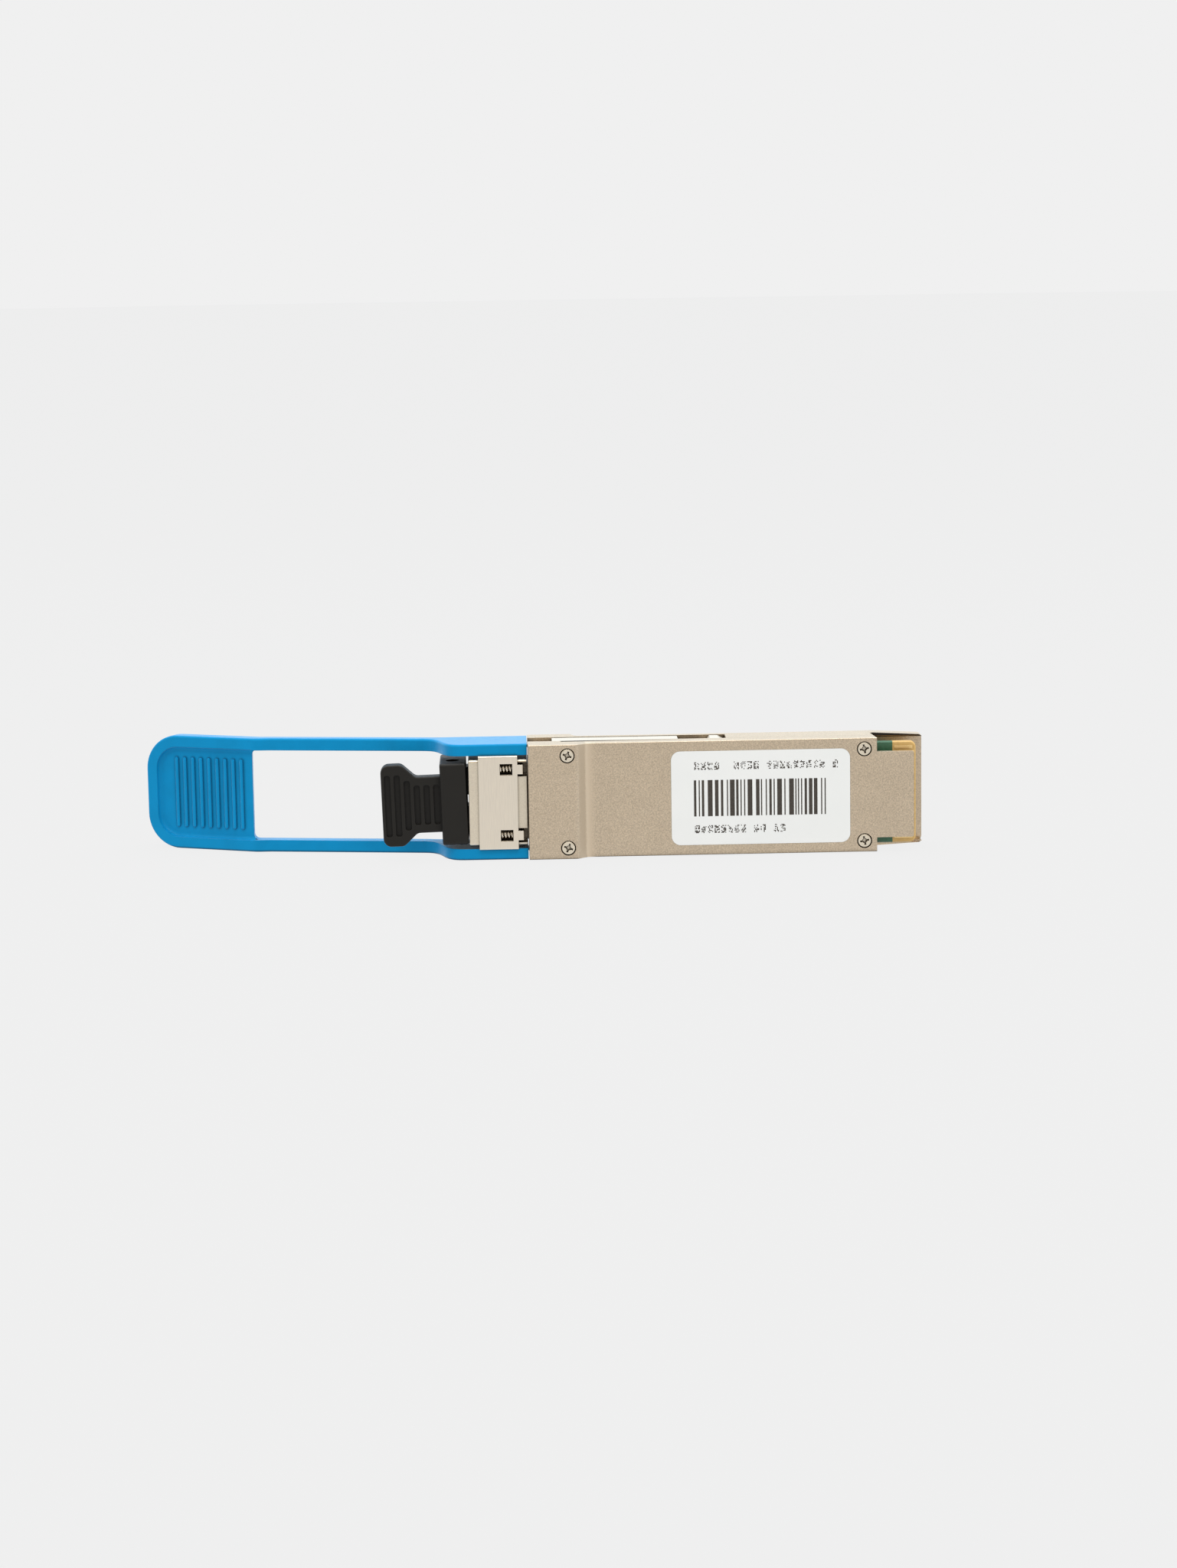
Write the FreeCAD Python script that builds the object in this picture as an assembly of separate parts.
import FreeCAD, Part
import os

# A pluggable optical transceiver module with a pull tab, in millimetres.
#
# The shapes are modelled in the module's own directions:
#   x  distance from the card end, growing towards the pull tab
#   y  height above the heat-sink face, growing towards the label face
#   z  distance across from the middle, between the two narrow sides
# stored() then turns each one half round, so that the finished module stands on its
# lower narrow side: +X towards the card end, -Y out of the label face, +Z up.

V = FreeCAD.Vector

# ---- driving dimensions -------------------------------------------------------------
TOTAL_LENGTH = 125.24         # card end to the end of the pull tab
LOWEST = -12.26               # the bent grip's far corner, past the heat-sink face
BODY_HALF = 9.175             # half the standard 18.35 width
BODY_HEIGHT = 8.5             # heat-sink face to label face
BODY_FRONT = 63.1             # front face of the raised head
TAB_HALF = 9.3                # half width over the pull tab's side plates

WALL = 1.1                    # floor and cover thickness
INNER_HALF = 7.55             # inner face of the side walls
PARTING = 5.5                 # height where cover meets base
SEAM = 0.05                   # gap left at that seam
EDGE_ROUND = 0.12             # cast edges
RAMP_ROUND = 1.2              # soft foot and crest of each ramp

HOOD_START = -0.4             # the hood's lip stands a little past the card end
HOOD_END = 7.6                # where the card hood meets the closed body
HOOD_FLOOR = 0.75
HOOD_LIP = 2.8                # low side walls of the hood
HOOD_INNER_HALF = 8.5         # inner face of its side walls
HOOD_TAPER = 0.42             # its sides draw in towards the card end
TONGUE_END = 1.7              # cover tongue over the card
TONGUE_HALF = 6.9

HEAD_LOW = -2.3               # the head stands out on both faces
HEAD_HIGH = 10.1
HEAD_MID = (HEAD_LOW + HEAD_HIGH) / 2.0
RAMP_FOOT = 53.7
RAMP_TOP = 55.4
STEP_FOOT = 55.4              # matching step on the heat-sink face
STEP_TOP = 56.2
HEAD_WALL = 1.6               # front wall behind the head's face

CHANNEL_LOW = 1.3             # side channels for the release arms
CHANNEL_FLOOR = 8.4
POCKET_START = 31.4           # latch pockets near the channel's end
POCKET_END = 41.8             # far enough under the blade for the whole travel
POCKET_FLOOR = 7.95
SLOT_START = 58.7             # where the channel opens wide at the head
SLOT_FLOOR = 8.0

SCREW_X = (9.6, 56.9)
SCREW_Z = 7.4
SCREW_HEAD_R = 1.07
SCREW_HEAD_DEPTH = 0.85
SCREW_SHANK_R = 0.7
SCREW_CLEAR_R = 0.85
HEAD_GAP = 0.13               # ring of air round each screw head
POST_R = 1.35

BOARD_LOW = 4.9
BOARD_HIGH = 5.9
BOARD_END = 1.1               # card edge
BOARD_HALF = 8.2
BOARD_TAIL = 41.0
PAD_COUNT = 19
PAD_PITCH = 0.8
PAD_WIDTH = 0.54
PAD_THICK = 0.04
PAD_LENGTH = 3.2

LC_PITCH = 6.25
PORT_HALF = 2.35
LC_LATCH_HALF = 1.1
NOSE_FRONT = 72.6
NOSE_HALF = 6.9
NOSE_LOW = -1.5
NOSE_HIGH = 9.3
PORT_BACK = 62.4
BARREL_R = 1.5
BARREL_END = 66.6
SLEEVE_R = 0.8
SLEEVE_BORE_R = 0.63
SLEEVE_START = 61.5
SLEEVE_END = 66.4

SHEET = 0.3                   # stamped metal of the release slide
PLATE_START = 64.8
PLATE_END = 71.0
PLATE_HALF = 7.5
ARM_OUT = 9.1
ARM_THICK = 0.6
ARM_LOW = 1.42
ARM_HIGH = 5.38
NECK_LOW = 2.3
NECK_HIGH = 4.5
NECK_IN = 8.15                # the neck lies deeper in its slot than the blade
NECK_OUT = 8.6
TIP_START = 31.8
TIP_END = 34.2
TIP_SLOPE = 0.8               # length of the wedge at the tip
SPRING_Z = 5.3
SPRING_R = 0.75
SPRING_START = 64.25
SPRING_END = 68.05
SPRING_Y = 8.35
TRAVEL = 1.6                  # of the release slide

TAB_LOW = -0.5
TAB_PLATE_HIGH = 8.9
TAB_PLATE_START = 63.25
TAB_BEND_START = 73.3
TAB_BEND_END = 80.0
TAB_ROUND = 0.35              # moulded outer edges
STRAP_THICK = 2.3
STRAP_IN = 7.35
STRAP_SLOPE = 0.16            # the straps lean away from the label side
STRAP_LEAN_FROM = 77.2
STRAP_END = 104.5             # where the straps start to turn into the grip
GRIP_TILT = 22.0              # degrees, the grip leans further than the straps
GRIP_ROOT = (107.64, -2.8)    # where it starts, at the end of the window
GRIP_LONG = 19.1
GRIP_THICK = 2.6
GRIP_CORNER_R = 5.6
GRIP_RIM = 1.85               # flat top of the rim, before its soft inner wall
GRIP_RECESS = 0.8
WINDOW_CORNER_R = 0.8
RIB_COUNT = 9
RIB_PITCH = 1.455
RIB_FIRST = 2.25
RIB_HALF = 5.75
RIB_WIDTH = 0.58
RIB_HIGH = 0.38

PLUG_FLANGE_START = 72.85
PLUG_FLANGE_END = 77.0
PLUG_HALF = 6.55
PLUG_LOW = -1.5
PLUG_HIGH = 9.4
PLUG_TAB_LOW = 6.0
PLUG_TAB_HIGH = 8.6
PLUG_TAB_END = 86.4
PLUG_NECK_HALF = 4.5
PLUG_EAR_HALF = 6.55
PLUG_FIT = 0.12               # air between each prong and its port
PLUG_LEAN = 1.5               # degrees, it sits a little askew within that air

# ---- building helpers ---------------------------------------------------------------


def block(x0, x1, y0, y1, z0, z1):
    return Part.makeBox(x1 - x0, y1 - y0, z1 - z0, V(x0, y0, z0))


def slab(x0, x1, y0, y1, half):
    """A block that is centred across the module."""
    return block(x0, x1, y0, y1, -half, half)


def side_profile(points, z0, z1):
    """An outline of (x, y) points, carried across from z0 to z1."""
    ring = [V(x, y, z0) for x, y in points]
    face = Part.Face(Part.makePolygon(ring + ring[:1]))
    return face.extrude(V(0, 0, z1 - z0))


def plan_profile(points, y0, y1):
    """An outline of (x, z) points, carried up from y0 to y1."""
    ring = [V(x, y0, z) for x, z in points]
    face = Part.Face(Part.makePolygon(ring + ring[:1]))
    return face.extrude(V(0, y1 - y0, 0))


def rod_x(x0, x1, y, z, radius):
    return Part.makeCylinder(radius, x1 - x0, V(x0, y, z), V(1, 0, 0))


def rod_y(x, y0, y1, z, radius):
    return Part.makeCylinder(radius, y1 - y0, V(x, y0, z), V(0, 1, 0))


def rod_z(x, y, z0, z1, radius):
    return Part.makeCylinder(radius, z1 - z0, V(x, y, z0), V(0, 0, 1))


def mirrored(shape):
    """The same shape on the other narrow side."""
    return shape.mirror(V(0, 0, 0), V(0, 0, 1))


def both(shape):
    return [shape, mirrored(shape)]


def join(shapes):
    whole = shapes[0].fuse(shapes[1:]) if len(shapes) > 1 else shapes[0]
    return whole.removeSplitter()


def edges_where(shape, direction, test):
    """Straight edges along a direction whose middle passes the test."""
    found = []
    for edge in shape.Edges:
        if edge.Curve.TypeId != "Part::GeomLine":
            continue
        along = edge.Vertexes[-1].Point - edge.Vertexes[0].Point
        if along.Length < 1e-6:
            continue
        along.normalize()
        if abs(along.dot(direction)) < 0.999:
            continue
        if test(edge.CenterOfMass):
            found.append(edge)
    return found


def rounded(shape, radius, direction, test):
    edges = edges_where(shape, direction, test)
    return shape.makeFillet(radius, edges) if edges else shape


def near(a, b, margin=0.02):
    return abs(a - b) < margin


def flat_edges_at(shape, y):
    """Every edge that lies wholly at one height."""
    return [e for e in shape.Edges if near(e.BoundBox.YMin, y) and near(e.BoundBox.YMax, y)]


def ring_edges_at(shape, x):
    """Every edge that lies wholly at one distance along the module."""
    return [e for e in shape.Edges if near(e.BoundBox.XMin, x) and near(e.BoundBox.XMax, x)]


def narrow_side_edges(shape, half, low, high):
    """The edges of both narrow sides whose middle height is between low and high."""
    found = []
    for edge in shape.Edges:
        box = edge.BoundBox
        if near(abs(box.ZMin), half) and near(box.ZLength, 0) and box.XLength > 0.1:
            if low < edge.CenterOfMass.y < high:
                found.append(edge)
    return found


def stored(shape):
    """Turns a shape half round and moves it into the stored frame."""
    placed = shape.copy()
    placed.rotate(V(0, 0, 0), V(0, 0, 1), 180)
    placed.translate(V((TOTAL_LENGTH + HOOD_START) / 2.0, (LOWEST + HEAD_HIGH) / 2.0, TAB_HALF))
    return placed


def save(name, shapes):
    """Writes one sub-part; its separate solids stay separate."""
    solids = []
    for shape in shapes:
        solids += stored(shape).Solids
    whole = solids[0] if len(solids) == 1 else Part.makeCompound(solids)
    volume = sum(solid.Volume for solid in solids)
    print(name, len(solids), "solids", round(volume, 2), "mm3", whole.isValid())
    whole.exportStep("parts/" + name + ".step")


# ---- the die-cast housing -----------------------------------------------------------


def screw_places():
    return [(x, z) for x in SCREW_X for z in (-SCREW_Z, SCREW_Z)]


def cover_face_at(x):
    return HEAD_HIGH if x > RAMP_TOP else BODY_HEIGHT


def arm_channel():
    """The recess along one narrow side that the release arm lies in."""
    channel = block(POCKET_START, BODY_FRONT + 1, CHANNEL_LOW, PARTING, CHANNEL_FLOOR, BODY_HALF + 1)
    slot = block(SLOT_START, BODY_FRONT + 1, CHANNEL_LOW, PARTING, SLOT_FLOOR, BODY_HALF + 1)
    pocket = plan_profile(
        [
            (POCKET_START, BODY_HALF + 1),
            (POCKET_START, BODY_HALF - 0.4),
            (POCKET_START + 0.6, POCKET_FLOOR),
            (POCKET_END, POCKET_FLOOR),
            (POCKET_END + 0.4, CHANNEL_FLOOR),
            (POCKET_END + 0.4, BODY_HALF + 1),
        ],
        CHANNEL_LOW,
        PARTING,
    )
    return join([channel, slot, pocket])


def hood():
    """The open end that shields the card's contacts, with a fine groove along each lip."""
    half = [
        (HOOD_START, 0),
        (HOOD_START, BODY_HALF - HOOD_TAPER),
        (HOOD_END, BODY_HALF),
        (HOOD_END + 1, BODY_HALF),
        (HOOD_END + 1, 0),
    ]
    one = plan_profile(half, 0, HOOD_LIP)
    one = rounded(one, 0.8, V(0, 1, 0), lambda c: near(c.x, HOOD_START) and c.z > 1)
    plate = join([one, mirrored(one)])
    inside = slab(HOOD_START - 1, HOOD_END + 2, HOOD_FLOOR, HOOD_LIP + 1, HOOD_INNER_HALF)
    groove = block(
        HOOD_START - 1, HOOD_END, HOOD_LIP - 0.4, HOOD_LIP + 1, HOOD_INNER_HALF + 0.08, HOOD_INNER_HALF + 0.2
    )
    return plate.cut([inside] + both(groove))


def base_walls():
    """The closed trough behind the hood, with its head half."""
    outline = [
        (HOOD_END, 0),
        (STEP_FOOT, 0),
        (STEP_TOP, HEAD_LOW),
        (BODY_FRONT, HEAD_LOW),
        (BODY_FRONT, PARTING - SEAM),
        (HOOD_END + 0.3, PARTING - SEAM),
        (HOOD_END + 0.6, HOOD_LIP),
        (HOOD_END, HOOD_LIP),
    ]
    outer = side_profile(outline, -BODY_HALF, BODY_HALF)
    outer = rounded(outer, RAMP_ROUND, V(0, 0, 1), lambda c: near(c.x, STEP_FOOT) and near(c.y, 0))
    outer = rounded(outer, RAMP_ROUND / 2, V(0, 0, 1), lambda c: near(c.x, STEP_TOP))
    sides = narrow_side_edges(outer, BODY_HALF, HEAD_LOW - 0.1, 0.05)
    front = edges_where(outer, V(0, 0, 1), lambda c: near(c.x, BODY_FRONT) and near(c.y, HEAD_LOW))
    outer = outer.makeFillet(EDGE_ROUND, sides + front)
    cavity = slab(HOOD_END + 1.0, BODY_FRONT - HEAD_WALL, WALL, PARTING + 1, INNER_HALF)
    head_cavity = slab(STEP_TOP + 1.2, BODY_FRONT - HEAD_WALL, HEAD_LOW + 0.55, WALL + 1, INNER_HALF)
    return outer.cut(cavity).cut(head_cavity)


def nose_passage():
    gap = 0.15
    return slab(
        BODY_FRONT - HEAD_WALL - 1, BODY_FRONT + 1, NOSE_LOW - gap, NOSE_HIGH + gap, NOSE_HALF + gap
    )


def wide_board_room():
    """Room for the card where it is wider than the cavity, ahead of the arm channels."""
    return slab(HOOD_END - 1, POCKET_START - 0.9, BOARD_LOW - 0.05, PARTING + 1, BOARD_HALF + 0.1)


def base_shell():
    posts = [rod_y(x, 0.3, PARTING - SEAM, z, POST_R) for x, z in screw_places()]
    posts = [p.common(slab(0, BODY_FRONT, 0.3, PARTING, BODY_HALF - 0.1)) for p in posts]
    pedestal = slab(16.6, 24.4, WALL - 0.2, 3.2, 4.2)
    shell = join([base_walls(), pedestal, hood()])
    shell = shell.cut(wide_board_room()).cut(nose_passage())
    shell = join([shell] + posts)
    holes = [rod_y(x, 1.6, PARTING + 1, z, SCREW_SHANK_R) for x, z in screw_places()]
    return shell.cut(both(arm_channel()) + holes)


def cover_shell():
    outline = [
        (HOOD_END, BODY_HEIGHT),
        (RAMP_FOOT, BODY_HEIGHT),
        (RAMP_TOP, HEAD_HIGH),
        (BODY_FRONT, HEAD_HIGH),
        (BODY_FRONT, PARTING),
        (HOOD_END + 0.3, PARTING),
        (HOOD_END + 0.26, BOARD_HIGH + 0.1),
    ]
    outer = side_profile(outline, -BODY_HALF, BODY_HALF)
    outer = rounded(outer, RAMP_ROUND, V(0, 0, 1), lambda c: near(c.x, RAMP_FOOT) or near(c.x, RAMP_TOP))
    sides = narrow_side_edges(outer, BODY_HALF, BODY_HEIGHT - 0.02, HEAD_HIGH + 0.1)
    front = edges_where(outer, V(0, 0, 1), lambda c: near(c.x, BODY_FRONT) and near(c.y, HEAD_HIGH))
    outer = outer.makeFillet(EDGE_ROUND, sides + front)
    cavity = slab(HOOD_END + 1.0, BODY_FRONT - HEAD_WALL, PARTING - 1, BODY_HEIGHT - WALL, INNER_HALF)
    head_cavity = slab(
        RAMP_TOP + 1.0, BODY_FRONT - HEAD_WALL, PARTING - 1, HEAD_HIGH - 0.45, INNER_HALF
    )
    card_room = slab(HOOD_END - 1, POCKET_START - 0.9, PARTING - 1, BOARD_HIGH + 0.05, BOARD_HALF + 0.1)
    outer = outer.cut([cavity, head_cavity, card_room, nose_passage()])
    tongue = slab(TONGUE_END, HOOD_END + 0.5, BODY_HEIGHT - 1.1, BODY_HEIGHT, TONGUE_HALF)
    tongue = rounded(tongue, 0.3, V(0, 1, 0), lambda c: near(c.x, TONGUE_END))
    posts = [
        rod_y(x, PARTING, cover_face_at(x) - 0.1, z, POST_R).common(
            slab(0, BODY_FRONT, 0, HEAD_HIGH, BODY_HALF - 0.1)
        )
        for x, z in screw_places()
    ]
    shell = join([outer, tongue] + posts)
    holes = [rod_y(x, PARTING - 1, HEAD_HIGH + 1, z, SCREW_CLEAR_R) for x, z in screw_places()]
    seats = [
        rod_y(x, cover_face_at(x) - SCREW_HEAD_DEPTH, HEAD_HIGH + 1, z, SCREW_HEAD_R + HEAD_GAP)
        for x, z in screw_places()
    ]
    return shell.cut(holes + seats)


def cover_screws():
    screws = []
    for x, z in screw_places():
        face = cover_face_at(x)
        head = rod_y(x, face - SCREW_HEAD_DEPTH, face - 0.03, z, SCREW_HEAD_R)
        head = head.makeFillet(0.14, flat_edges_at(head, face - 0.03))
        shank = rod_y(x, 2.0, face - SCREW_HEAD_DEPTH + 0.1, z, SCREW_SHANK_R)
        screw = join([head, shank])
        arm_long = 0.72
        arm_half = 0.15
        depth = 0.55
        turn = 12.0 if x < BODY_FRONT / 2 else -20.0
        for quarter in (0, 90):
            groove = block(x - arm_long, x + arm_long, face - depth, face + 1, z - arm_half, z + arm_half)
            groove.rotate(V(x, 0, z), V(0, 1, 0), quarter + turn)
            screw = screw.cut(groove)
        well = Part.makeCone(0.12, 0.42, 0.5, V(x, face - 0.52, z), V(0, 1, 0))
        screws.append(screw.cut(well))
    return screws


def label():
    corner = 1.45
    sheet = slab(11.9, 40.4, BODY_HEIGHT, BODY_HEIGHT + 0.08, 7.55)
    return rounded(sheet, corner, V(0, 1, 0), lambda c: True)


# ---- the card and what sits on it ---------------------------------------------------


def circuit_board():
    half = [
        (BOARD_END, 0),
        (BOARD_END, BOARD_HALF),
        (7.9, BOARD_HALF),
        (7.9, 5.75),
        (11.3, 5.75),
        (11.3, BOARD_HALF - 0.2),
        (POCKET_START - 1.2, BOARD_HALF - 0.2),
        (POCKET_START - 1.2, INNER_HALF - 0.15),
        (BOARD_TAIL, INNER_HALF - 0.15),
        (BOARD_TAIL, 0),
    ]
    one = plan_profile(half, BOARD_LOW, BOARD_HIGH)
    one = rounded(one, 1.0, V(0, 1, 0), lambda c: near(c.x, BOARD_END) and c.z > 1)
    board = join([one, mirrored(one)])
    # the bevel that leads the card into its connector
    return board.makeChamfer(0.2, edges_where(board, V(0, 0, 1), lambda c: near(c.x, BOARD_END)))


def contact_pads(y0, y1):
    pads = []
    for i in range(PAD_COUNT):
        z = (i - (PAD_COUNT - 1) / 2.0) * PAD_PITCH
        start = BOARD_END + (0.25 if i % 3 else 0.55)
        end = BOARD_END + 0.25 + PAD_LENGTH
        pads.append(block(start, end, y0, y1, z - PAD_WIDTH / 2, z + PAD_WIDTH / 2))
    return pads


def chip(x, z, length, width, low, high):
    return block(x - length / 2, x + length / 2, low, high, z - width / 2, z + width / 2)


def retimer_chip():
    return chip(20.5, 0, 7.0, 7.0, BOARD_LOW - 1.2, BOARD_LOW)


def microcontroller():
    return chip(25.5, 3.4, 5.0, 5.0, BOARD_HIGH, BOARD_HIGH + 0.85)


def laser_driver():
    return chip(33.5, -3.6, 4.0, 4.5, BOARD_HIGH, BOARD_HIGH + 0.8)


def power_inductors():
    return [chip(15.0 + 3.6 * i, -4.6, 2.5, 2.2, BOARD_HIGH, BOARD_HIGH + 1.2) for i in range(3)]


def capacitors():
    """Rows of small ceramic capacitors behind the contacts and round the chips."""
    parts = []
    for i in range(9):
        parts.append(chip(12.6, -4.8 + 1.2 * i, 1.0, 0.5, BOARD_HIGH, BOARD_HIGH + 0.5))
    for i in range(8):
        parts.append(chip(15.2 + 0.9 * i, 6.9, 0.5, 1.0, BOARD_HIGH, BOARD_HIGH + 0.5))
    for i in range(5):
        parts.append(chip(30.0 + 1.3 * i, 3.0, 0.5, 1.0, BOARD_HIGH, BOARD_HIGH + 0.5))
    return parts


def retimer_pad():
    return slab(17.2, 23.8, 3.2, BOARD_LOW - 1.2, 3.3)


# ---- the optical assemblies ---------------------------------------------------------

LC_Z = LC_PITCH / 2.0
BOX_LOW = 1.35


def transmitter_box():
    body = block(42.2, 55.0, BOX_LOW, 6.9, -7.2, -0.7)
    return rounded(body, 0.3, V(1, 0, 0), lambda c: c.y > 6)


def receiver_box():
    body = block(44.0, 55.0, BOX_LOW, 6.5, 0.7, 7.2)
    return rounded(body, 0.3, V(1, 0, 0), lambda c: c.y > 6)


def optics_pads():
    return [block(43.0, 54.4, WALL, BOX_LOW, -6.9, -1.0), block(44.6, 54.4, WALL, BOX_LOW, 1.0, 6.9)]


def lens_barrel(z):
    """A stepped metal barrel that holds the split sleeve for one connector."""
    flange = rod_x(55.0, 56.6, HEAD_MID, z, 2.3)
    tube = rod_x(56.6, BARREL_END, HEAD_MID, z, BARREL_R)
    collar = rod_x(59.4, 60.4, HEAD_MID, z, BARREL_R + 0.12)
    bore = rod_x(57.2, BARREL_END + 1, HEAD_MID, z, SLEEVE_R)
    lead_in = Part.makeCone(SLEEVE_R, SLEEVE_R + 0.25, 0.25, V(BARREL_END - 0.2, HEAD_MID, z), V(1, 0, 0))
    return join([flange, tube, collar]).cut([bore, lead_in])


def fibre_stub(z):
    return rod_x(57.2, SLEEVE_START, HEAD_MID, z, SLEEVE_R)


def guide_sleeve(z):
    tube = rod_x(SLEEVE_START, SLEEVE_END, HEAD_MID, z, SLEEVE_R)
    return tube.cut(rod_x(SLEEVE_START - 1, SLEEVE_END + 1, HEAD_MID, z, SLEEVE_BORE_R))


def barrel_clamp():
    """The moulded yoke that locates both barrels in the head."""
    yoke = slab(57.45, 58.85, HEAD_LOW + 0.6, HEAD_HIGH - 0.5, 5.9)
    holes = [rod_x(56, 60, HEAD_MID, z, BARREL_R) for z in (-LC_Z, LC_Z)]
    return yoke.cut(holes)


def flex_circuit(z0, z1, tail, box_end):
    """A thin printed flex that humps from the card up to the box."""
    thick = 0.12
    hump = 0.55
    low = [
        (tail, BOARD_HIGH),
        (BOARD_TAIL - 0.2, BOARD_HIGH),
        (BOARD_TAIL + 0.3, BOARD_HIGH + hump * 0.8),
        (BOARD_TAIL + 0.75, BOARD_HIGH + hump),
        (box_end, BOARD_HIGH + hump * 0.4),
    ]
    high = [(x, y + thick) for x, y in reversed(low)]
    return side_profile(low + high, z0, z1)


# ---- the connector nose -------------------------------------------------------------


def spring_pocket():
    """The trough that one return spring lies in, with its wider rear notch."""
    trough = block(63.3, SPRING_END, 7.5, NOSE_HIGH + 1, SPRING_Z - 0.85, SPRING_Z + 0.85)
    notch = block(63.3, PLATE_START + 0.1, 7.9, NOSE_HIGH + 1, SPRING_Z - 1.15, SPRING_Z + 1.15)
    return join([trough, notch])


def lc_port(z):
    hole = block(
        PORT_BACK, NOSE_FRONT + 1, HEAD_MID - PORT_HALF, HEAD_MID + PORT_HALF, z - PORT_HALF, z + PORT_HALF
    )
    latch_room = block(
        65.4, NOSE_FRONT + 1, HEAD_MID, HEAD_MID + 3.45, z - LC_LATCH_HALF, z + LC_LATCH_HALF
    )
    catch_room = block(
        65.4, 68.4, HEAD_MID, HEAD_MID + 3.45, z - LC_LATCH_HALF - 0.7, z + LC_LATCH_HALF
    )
    return [hole, latch_room, catch_room]


def lc_receptacle():
    nose = slab(58.9, NOSE_FRONT, NOSE_LOW, NOSE_HIGH, NOSE_HALF)
    nose = rounded(nose, 0.45, V(1, 0, 0), lambda c: True)
    nose = nose.makeFillet(0.2, ring_edges_at(nose, NOSE_FRONT))
    flange = slab(59.2, BODY_FRONT - HEAD_WALL - 0.05, NOSE_LOW - 0.2, NOSE_HIGH + 0.3, INNER_HALF - 0.1)
    nose = join([nose, flange])
    # a narrow relief where the nose leaves the head
    groove = slab(BODY_FRONT - 0.1, BODY_FRONT + 0.25, NOSE_LOW - 1, NOSE_HIGH + 1, NOSE_HALF + 1)
    groove = groove.cut(slab(BODY_FRONT - 1, BODY_FRONT + 1, NOSE_LOW + 0.7, NOSE_HIGH - 1.2, NOSE_HALF - 0.8))
    cuts = both(spring_pocket()) + [groove] + lc_port(LC_Z)
    cuts += [mirrored(tool) for tool in lc_port(LC_Z)]
    cuts += both(rod_x(58, 64, HEAD_MID, LC_Z, BARREL_R + 0.15))
    return nose.cut(cuts)


# ---- the release slide, its springs and the pull tab --------------------------------


def plate_with_windows():
    plate = slab(PLATE_START, PLATE_END, NOSE_HIGH + 0.02, NOSE_HIGH + 0.02 + SHEET, PLATE_HALF)
    plate = rounded(plate, 0.25, V(1, 0, 0), lambda c: c.y > NOSE_HIGH + 0.2)
    window = block(65.6, 67.6, NOSE_HIGH - 1, NOSE_HIGH + 1, SPRING_Z - 0.92, SPRING_Z + 0.92)
    return plate.cut(both(window))


def spring_tab():
    """A tongue off the plate's rear edge, bent down behind one spring."""
    top = NOSE_HIGH + 0.02 + SHEET
    flat = block(63.9, PLATE_START + 0.3, NOSE_HIGH + 0.02, top, SPRING_Z - 0.75, SPRING_Z + 0.75)
    down = block(63.9, 63.9 + SHEET, 7.75, top, SPRING_Z - 0.75, SPRING_Z + 0.75)
    tab = join([flat, down])
    return rounded(tab, 0.2, V(0, 0, 1), lambda c: near(c.x, 63.9) and near(c.y, top))


def arm_outline():
    """One release arm in plan: wedge tip, low bridge, flush blade, then the neck."""
    inner = ARM_OUT - ARM_THICK
    bridge_out = POCKET_FLOOR + 0.45
    return [
        (TIP_START, ARM_OUT - TIP_SLOPE / 2),
        (TIP_START + TIP_SLOPE, ARM_OUT),
        (TIP_END - 0.3, ARM_OUT),
        (TIP_END, ARM_OUT - 0.3),
        (TIP_END, bridge_out),
        (38.8, bridge_out),
        (39.1, ARM_OUT),
        (SLOT_START + 0.5, ARM_OUT),
        (SLOT_START + 0.5, inner),
        (40.4, inner),
        (39.8, POCKET_FLOOR + 0.1),
        (TIP_START + 0.3, POCKET_FLOOR + 0.1),
    ]


def release_arm():
    blade = plan_profile(arm_outline(), ARM_LOW, ARM_HIGH)
    neck = block(SLOT_START + 0.1, 66.6, NECK_LOW, NECK_HIGH, NECK_IN, NECK_OUT)
    web = block(66.0, 66.6, NECK_LOW, NECK_HIGH, PLATE_HALF - SHEET, NECK_OUT)
    flange = block(PLATE_START, PLATE_END, 1.2, NOSE_HIGH + 0.02 + SHEET - 0.1, PLATE_HALF - SHEET, PLATE_HALF)
    return [blade, neck, web, flange]


def slide_frame():
    pieces = [plate_with_windows()] + both(spring_tab())
    for piece in release_arm():
        pieces += both(piece)
    return join(pieces)


def return_springs():
    """Plain tubes with the coils' outer and inner size."""
    springs = []
    for z in (-SPRING_Z, SPRING_Z):
        tube = rod_x(SPRING_START, SPRING_END, SPRING_Y, z, SPRING_R)
        springs.append(tube.cut(rod_x(SPRING_START - 1, SPRING_END + 1, SPRING_Y, z, SPRING_R - 0.25)))
    return springs


def grip_place(shape):
    """Carries a shape from the grip's own directions, its root at 0, 0, to its leaning place."""
    placed = shape.copy()
    placed.rotate(V(0, 0, 0), V(0, 0, 1), -GRIP_TILT)
    placed.translate(V(GRIP_ROOT[0], GRIP_ROOT[1], 0))
    return placed


def smooth_edge(start, end, start_way, end_way):
    """A smooth line from start to end that leaves and arrives along the given ways."""
    curve = Part.BSplineCurve()
    curve.interpolate(Points=[start, end], InitialTangent=start_way, FinalTangent=end_way)
    return curve.toShape()


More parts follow.
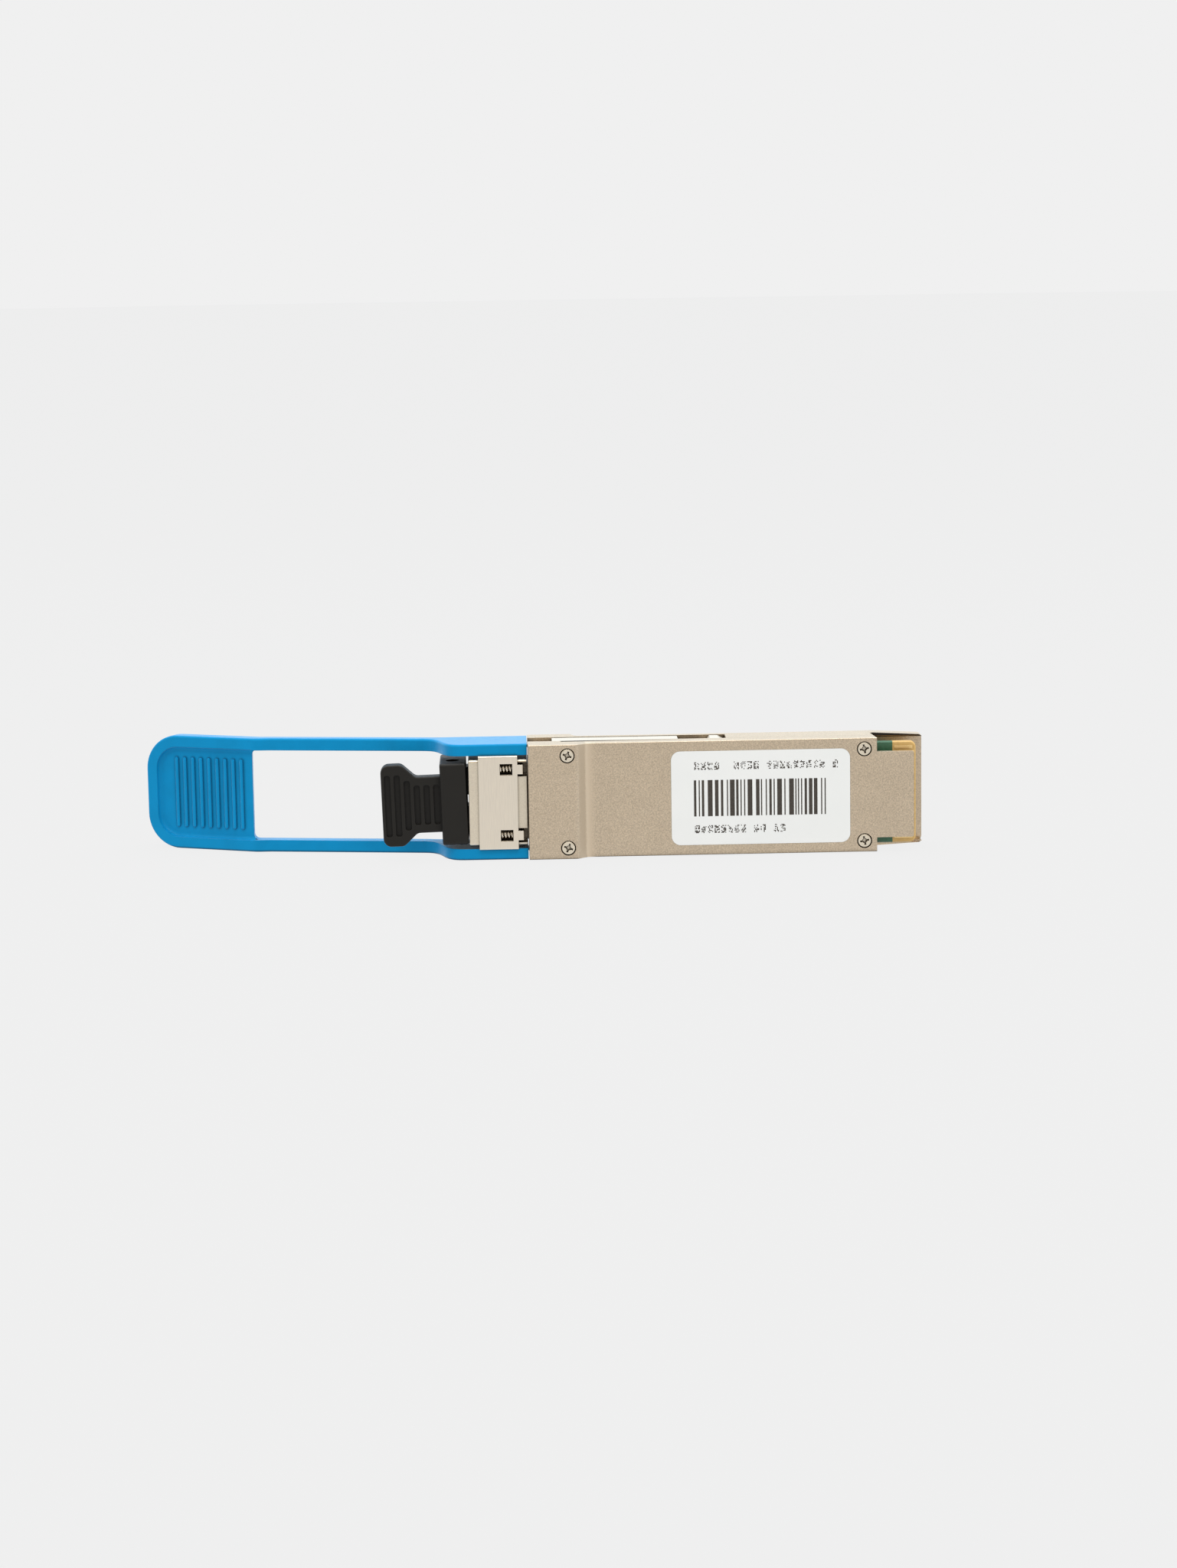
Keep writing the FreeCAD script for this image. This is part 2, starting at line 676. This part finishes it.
def tab_outline():
    """Side plate, S bend and leaning strap, seen from the narrow side, up to the grip's root."""
    lean = V(1, -STRAP_SLOPE, 0)
    drop = STRAP_SLOPE * (TAB_BEND_END - STRAP_LEAN_FROM)
    run = STRAP_END - TAB_BEND_END
    strap_high = TAB_LOW + STRAP_THICK
    bend_start = V(TAB_BEND_START, TAB_PLATE_HIGH, 0)
    bend_end = V(TAB_BEND_END, strap_high - drop, 0)
    top_end = bend_end + lean * run
    low_end = top_end - V(0, STRAP_THICK, 0)
    low_bend = bend_end - V(0, STRAP_THICK, 0) + lean * 0.4
    low_start = V(STRAP_LEAN_FROM - 1.6, TAB_LOW, 0)
    root = grip_place(Part.makeLine(V(0, 0, 0), V(0, -GRIP_THICK, 0)))
    root_top, root_low = [v.Point for v in root.Vertexes]
    tilt = grip_place(Part.makeLine(V(0, 0, 0), V(1, 0, 0)))
    grip_way = tilt.Vertexes[1].Point - tilt.Vertexes[0].Point
    edges = [
        smooth_edge(bend_start, bend_end, V(3.6, 0, 0), lean * 3.6),
        Part.makeLine(bend_end, top_end),
        smooth_edge(top_end, root_top, lean * 3.0, grip_way * 3.0),
        root,
        smooth_edge(low_end, root_low, lean * 2.0, grip_way * 2.0),
        Part.makeLine(low_bend, low_end),
        smooth_edge(low_start, low_bend, V(2.0, 0, 0), lean * 2.0),
    ]
    corners = [low_start, V(TAB_PLATE_START, TAB_LOW, 0), V(TAB_PLATE_START, TAB_PLATE_HIGH, 0), bend_start]
    edges += [Part.makeLine(a, b) for a, b in zip(corners[:-1], corners[1:])]
    return Part.Face(Part.Wire(Part.__sortEdges__(edges)))


def tab_side():
    solid = tab_outline().extrude(V(0, 0, TAB_HALF))
    outer_edges = [
        e
        for e in solid.Edges
        if near(e.BoundBox.ZMin, TAB_HALF) and near(e.BoundBox.ZMax, TAB_HALF) and e.BoundBox.XLength > 1.2
    ]
    solid = solid.makeFillet(TAB_ROUND, outer_edges)
    band = plan_profile(
        [
            (TAB_PLATE_START - 1, PLATE_HALF),
            (TAB_BEND_START - 0.4, PLATE_HALF),
            (TAB_BEND_END - 0.6, STRAP_IN),
            (GRIP_ROOT[0] + 1, STRAP_IN),
            (GRIP_ROOT[0] + 1, TAB_HALF + 1),
            (TAB_PLATE_START - 1, TAB_HALF + 1),
        ],
        LOWEST,
        TAB_PLATE_HIGH + 1,
    )
    return solid.common(band)


def grip():
    """The finger pad: rounded end, raised rim, and a sunk ribbed field that runs out at the window."""
    pad = slab(0, GRIP_LONG, -GRIP_THICK, 0, TAB_HALF)
    pad = rounded(pad, GRIP_CORNER_R, V(0, 1, 0), lambda c: near(c.x, GRIP_LONG))
    outline = flat_edges_at(pad, 0) + flat_edges_at(pad, -GRIP_THICK)
    pad = pad.makeFillet(TAB_ROUND, [e for e in outline if e.BoundBox.XMax > 0.1])
    field_end = GRIP_LONG - GRIP_RIM
    field_half = TAB_HALF - GRIP_RIM
    floor = -GRIP_RECESS
    field = slab(-1, field_end, floor, 1, field_half)
    field = rounded(field, GRIP_CORNER_R - GRIP_RIM, V(0, 1, 0), lambda c: near(c.x, field_end))
    soft = [e for e in flat_edges_at(field, floor) if e.BoundBox.XMax > 0.1]
    pad = pad.cut(field.makeFillet(GRIP_RECESS - 0.05, soft))
    ribs = []
    for i in range(RIB_COUNT):
        x = RIB_FIRST + RIB_PITCH * i
        rib = slab(x - RIB_WIDTH / 2, x + RIB_WIDTH / 2, floor - 0.5, floor + RIB_HIGH, RIB_HALF)
        rib = rounded(rib, RIB_WIDTH / 2 - 0.02, V(0, 1, 0), lambda c: True)
        ribs.append(rib.makeFillet(0.18, flat_edges_at(rib, floor + RIB_HIGH)))
    skirt = slab(-2.0, 0.5, -GRIP_THICK, floor, STRAP_IN)
    placed = grip_place(join([pad, skirt] + ribs))
    window = slab(GRIP_ROOT[0] - 4, GRIP_ROOT[0], LOWEST, TAB_PLATE_HIGH, STRAP_IN)
    return placed.cut(rounded(window, WINDOW_CORNER_R, V(0, 1, 0), lambda c: near(c.x, GRIP_ROOT[0])))


def pull_tab(metal):
    return join([grip()] + both(tab_side())).cut(metal)


# ---- the dust plug ------------------------------------------------------------------


def plug_tab():
    """The finger tab in plan: a neck that flares to two ears, with cross grooves."""
    flare_start = 80.9
    flare_end = 83.1
    half = [
        (PLUG_FLANGE_END - 0.5, 0),
        (PLUG_FLANGE_END - 0.5, PLUG_NECK_HALF),
        (flare_start, PLUG_NECK_HALF),
        (flare_end, PLUG_EAR_HALF),
        (PLUG_TAB_END, PLUG_EAR_HALF),
        (PLUG_TAB_END, 0),
    ]
    one = plan_profile(half, PLUG_TAB_LOW, PLUG_TAB_HIGH)
    tab = join([one, mirrored(one)])
    tab = rounded(tab, 1.3, V(0, 1, 0), lambda c: c.x > flare_end - 0.1)
    tab = rounded(tab, 1.2, V(0, 1, 0), lambda c: near(c.x, flare_start))
    rims = flat_edges_at(tab, PLUG_TAB_LOW) + flat_edges_at(tab, PLUG_TAB_HIGH)
    tab = tab.makeFillet(0.3, [e for e in rims if e.BoundBox.XMax > PLUG_FLANGE_END])
    groove_half = 0.5
    ends = [(85.4, 4.95), (83.85, 4.95), (82.3, 4.0), (80.75, 3.2), (79.2, 3.2), (77.65, 3.2)]
    grooves = []
    for x, half_length in ends:
        low = PLUG_TAB_HIGH - 0.4
        groove = slab(x - groove_half, x + groove_half, low, PLUG_TAB_HIGH + 1, half_length)
        grooves.append(rounded(groove, groove_half - 0.1, V(0, 1, 0), lambda c: True))
    under = [g.copy() for g in grooves]
    for g in under:
        g.translate(V(0, PLUG_TAB_LOW - PLUG_TAB_HIGH - 0.6, 0))
    return tab.cut(grooves + under)


def plug_flange():
    flange = slab(PLUG_FLANGE_START, PLUG_FLANGE_END, PLUG_LOW, PLUG_HIGH, PLUG_HALF)
    flange = rounded(flange, 0.5, V(1, 0, 0), lambda c: True)
    ends = ring_edges_at(flange, PLUG_FLANGE_START) + ring_edges_at(flange, PLUG_FLANGE_END)
    flange = flange.makeFillet(0.35, ends)
    dimple_x = (PLUG_FLANGE_START + PLUG_FLANGE_END) / 2.0
    dimple = rod_z(dimple_x, 5.8, PLUG_HALF - 0.5, PLUG_HALF + 1, 1.1)
    return flange.cut(both(dimple))


def plug_prong(z):
    half = PORT_HALF - PLUG_FIT
    prong = block(
        BARREL_END + 0.5, PLUG_FLANGE_START + 0.5, HEAD_MID - half, HEAD_MID + half, z - half, z + half
    )
    prong = rounded(prong, 0.5, V(1, 0, 0), lambda c: True)
    tip = [e for e in prong.Edges if near(e.BoundBox.XMax, BARREL_END + 0.5)]
    prong = prong.makeChamfer(0.3, tip)
    return prong.cut(rod_x(BARREL_END, BARREL_END + 4.0, HEAD_MID, z, 0.9))


def dust_plug():
    plug = join([plug_flange(), plug_tab(), plug_prong(-LC_Z), plug_prong(LC_Z)])
    plug.rotate(V((BARREL_END + PLUG_FLANGE_START) / 2, HEAD_MID, 0), V(0, 1, 0), PLUG_LEAN)
    return plug


# ---- all the sub-parts --------------------------------------------------------------


def main():
    os.makedirs("parts", exist_ok=True)
    metal = slide_frame()
    save("base_shell", [base_shell()])
    save("cover_shell", [cover_shell()])
    save("cover_screws", cover_screws())
    save("label", [label()])
    save("circuit_board", [circuit_board()])
    save("label_side_contacts", contact_pads(BOARD_HIGH, BOARD_HIGH + PAD_THICK))
    save("sink_side_contacts", contact_pads(BOARD_LOW - PAD_THICK, BOARD_LOW))
    save("retimer_chip", [retimer_chip()])
    save("retimer_pad", [retimer_pad()])
    save("microcontroller", [microcontroller()])
    save("laser_driver", [laser_driver()])
    save("power_inductors", power_inductors())
    save("capacitors", capacitors())
    save("transmitter_box", [transmitter_box()])
    save("receiver_box", [receiver_box()])
    save("optics_pads", optics_pads())
    save("transmitter_flex", [flex_circuit(-6.4, -1.6, 37.6, 42.2)])
    save("receiver_flex", [flex_circuit(1.6, 6.4, 37.6, 44.0)])
    save("transmitter_barrel", [lens_barrel(-LC_Z)])
    save("receiver_barrel", [lens_barrel(LC_Z)])
    save("fibre_stubs", [fibre_stub(-LC_Z), fibre_stub(LC_Z)])
    save("guide_sleeves", [guide_sleeve(-LC_Z), guide_sleeve(LC_Z)])
    save("barrel_clamp", [barrel_clamp()])
    save("lc_receptacle", [lc_receptacle()])
    save("slide_frame", [metal])
    save("return_springs", return_springs())
    save("pull_tab", [pull_tab(metal)])
    save("dust_plug", [dust_plug()])


main()
